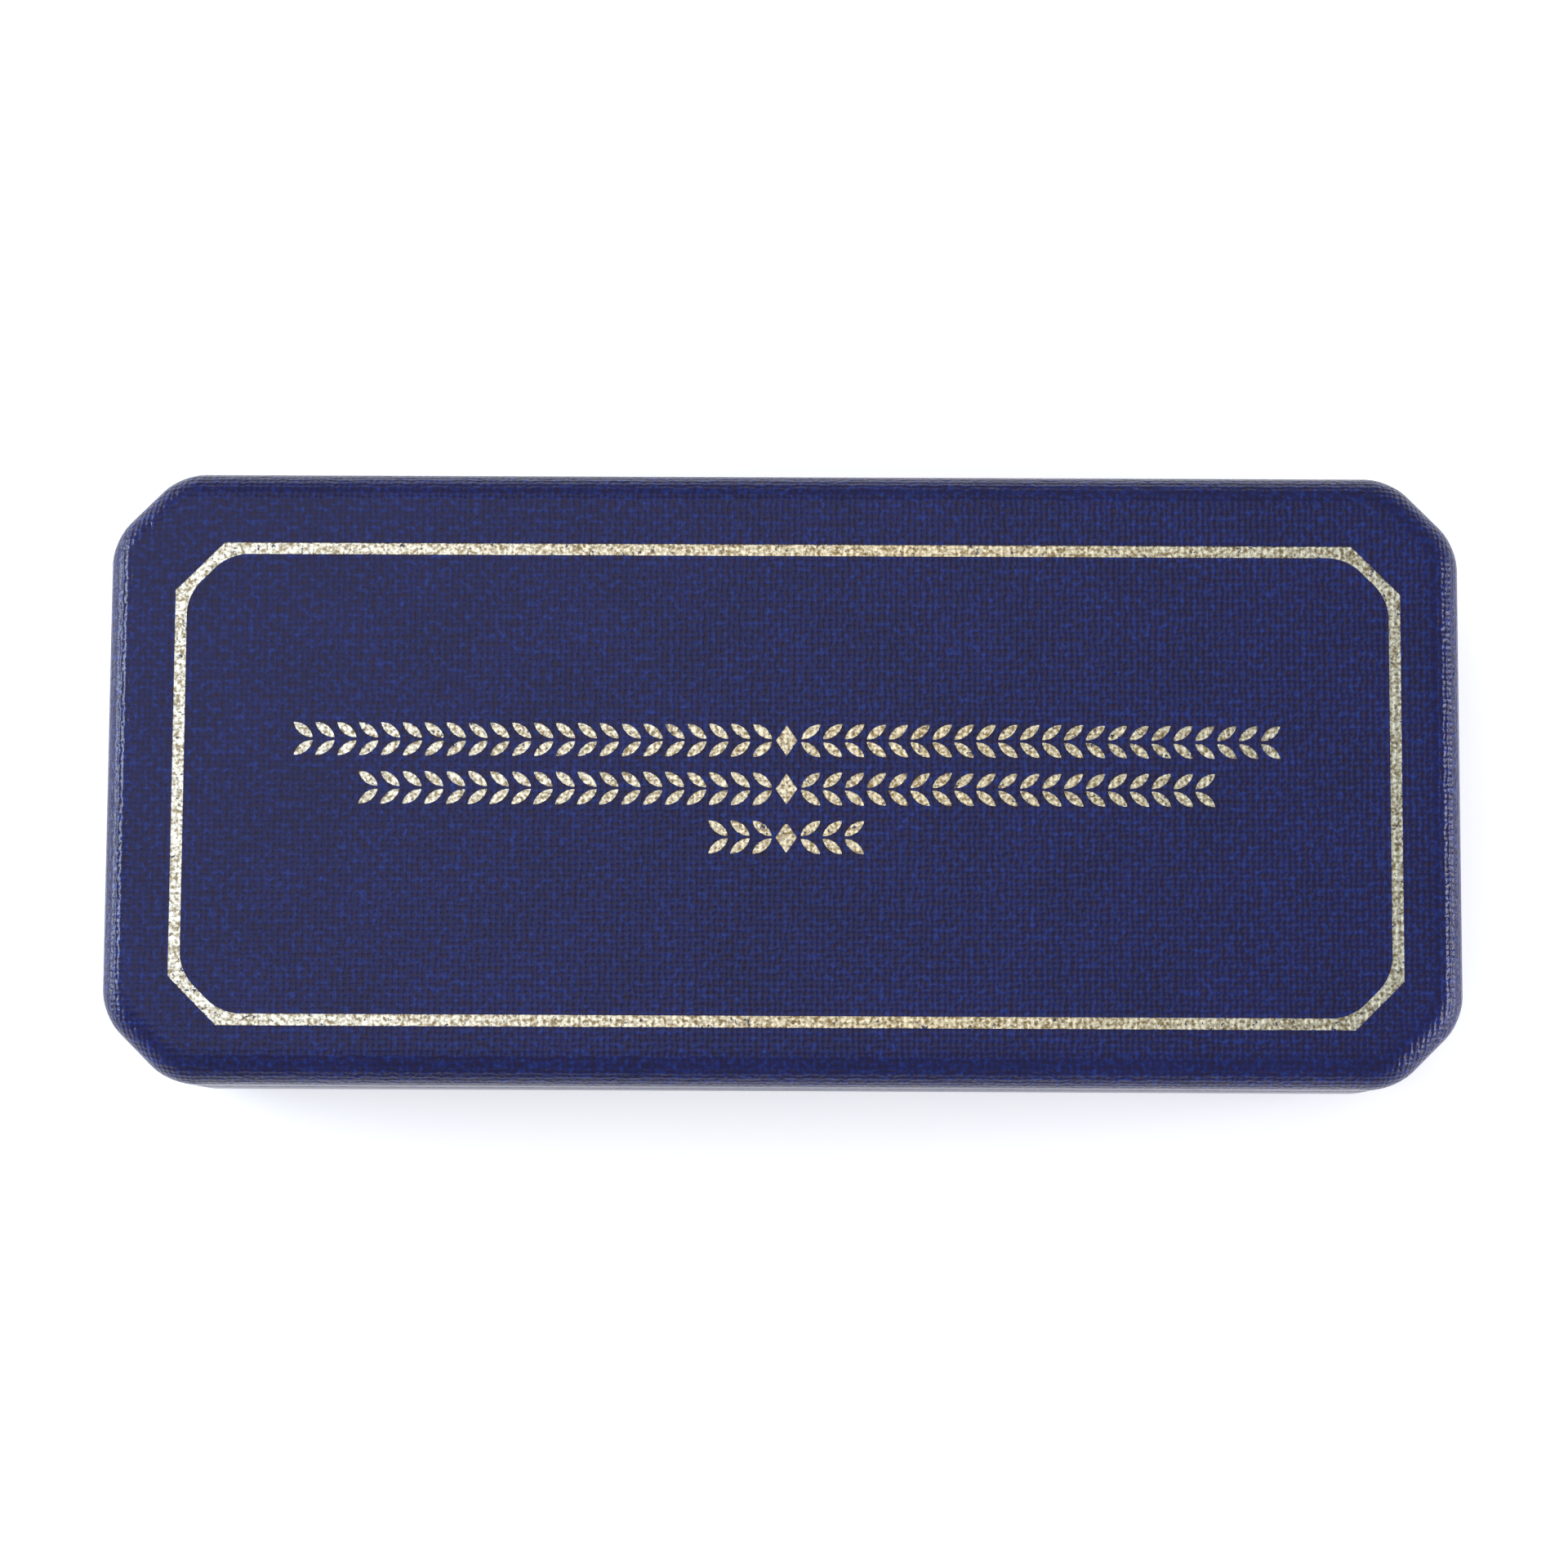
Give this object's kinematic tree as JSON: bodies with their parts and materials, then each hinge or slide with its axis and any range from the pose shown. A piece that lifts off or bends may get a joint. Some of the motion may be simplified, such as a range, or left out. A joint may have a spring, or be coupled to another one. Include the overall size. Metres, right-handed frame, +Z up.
{
  "type": "medal presentation case",
  "caption": "Long hinged presentation case with cut corners and foil-blocked lid, holding a round service medal on its ribbon and brooch in a velvet bed.",
  "frame": {"origin": "middle of the underside of the closed case", "axes": "+X along the case's length, -Y towards the opening side, +Y towards the hinge, +Z up"},
  "size_m": [0.14, 0.0638, 0.0224],
  "materials": {
    "leathercloth": "navy linen-grain leathercloth, semi-matt",
    "foil": "blocked metallic foil, pale gold with silvery patches",
    "moulding": "moulded shell, matt",
    "board": "greyboard, uncoated",
    "foam": "firm foam",
    "wadding": "cotton wadding",
    "velvet": "dark blue cotton velvet",
    "satin": "ivory satin",
    "collar_cloth": "dark blue paper-backed cloth",
    "hinge_steel": "plated steel, satin",
    "spring_steel": "spring steel wire",
    "cupro_nickel": "struck cupro-nickel, lightly toned",
    "gilding_metal": "gilding metal, satin",
    "ribbon_silk": "ribbed watered silk ribbon, dark green with white lines"
  },
  "bodies": {
    "base": {"base_shell": "moulding", "base_cover": "leathercloth", "base_tuck_filler": "board", "base_underlay": "leathercloth", "base_collar": "collar_cloth", "bed_board": "board", "bed_foam": "foam", "bed_velvet": "velvet", "hinge_leaf_base": "hinge_steel", "hinge_pin": "hinge_steel", "hinge_rivets_base": "hinge_steel", "snap_spring_left": "spring_steel", "snap_spring_right": "spring_steel", "medal_disc": "cupro_nickel", "medal_claw": "cupro_nickel", "claw_rivets": "cupro_nickel", "swivel_pin": "cupro_nickel", "suspender": "cupro_nickel", "ribbon": "ribbon_silk", "brooch_bar": "gilding_metal", "brooch_pin": "spring_steel", "brooch_hinge": "gilding_metal", "brooch_rivet": "spring_steel", "brooch_catch": "gilding_metal"},
    "lid": {"lid_shell": "moulding", "lid_cover": "leathercloth", "foil_border": "foil", "foil_row_top": "foil", "foil_row_middle": "foil", "foil_row_bottom": "foil", "lid_board": "board", "lid_wadding": "wadding", "lid_satin": "satin", "hinge_leaf_lid": "hinge_steel", "hinge_rivets_lid": "hinge_steel"}
  },
  "joints": [
    {"name": "lid_hinge", "type": "hinge", "parent": "base", "child": "lid", "pos_m": [0, 0.031, 0.01215], "axis": [-1, 0, 0], "range_deg": [0, 100], "deforming": ["snap_spring_left", "snap_spring_right"]}
  ]
}
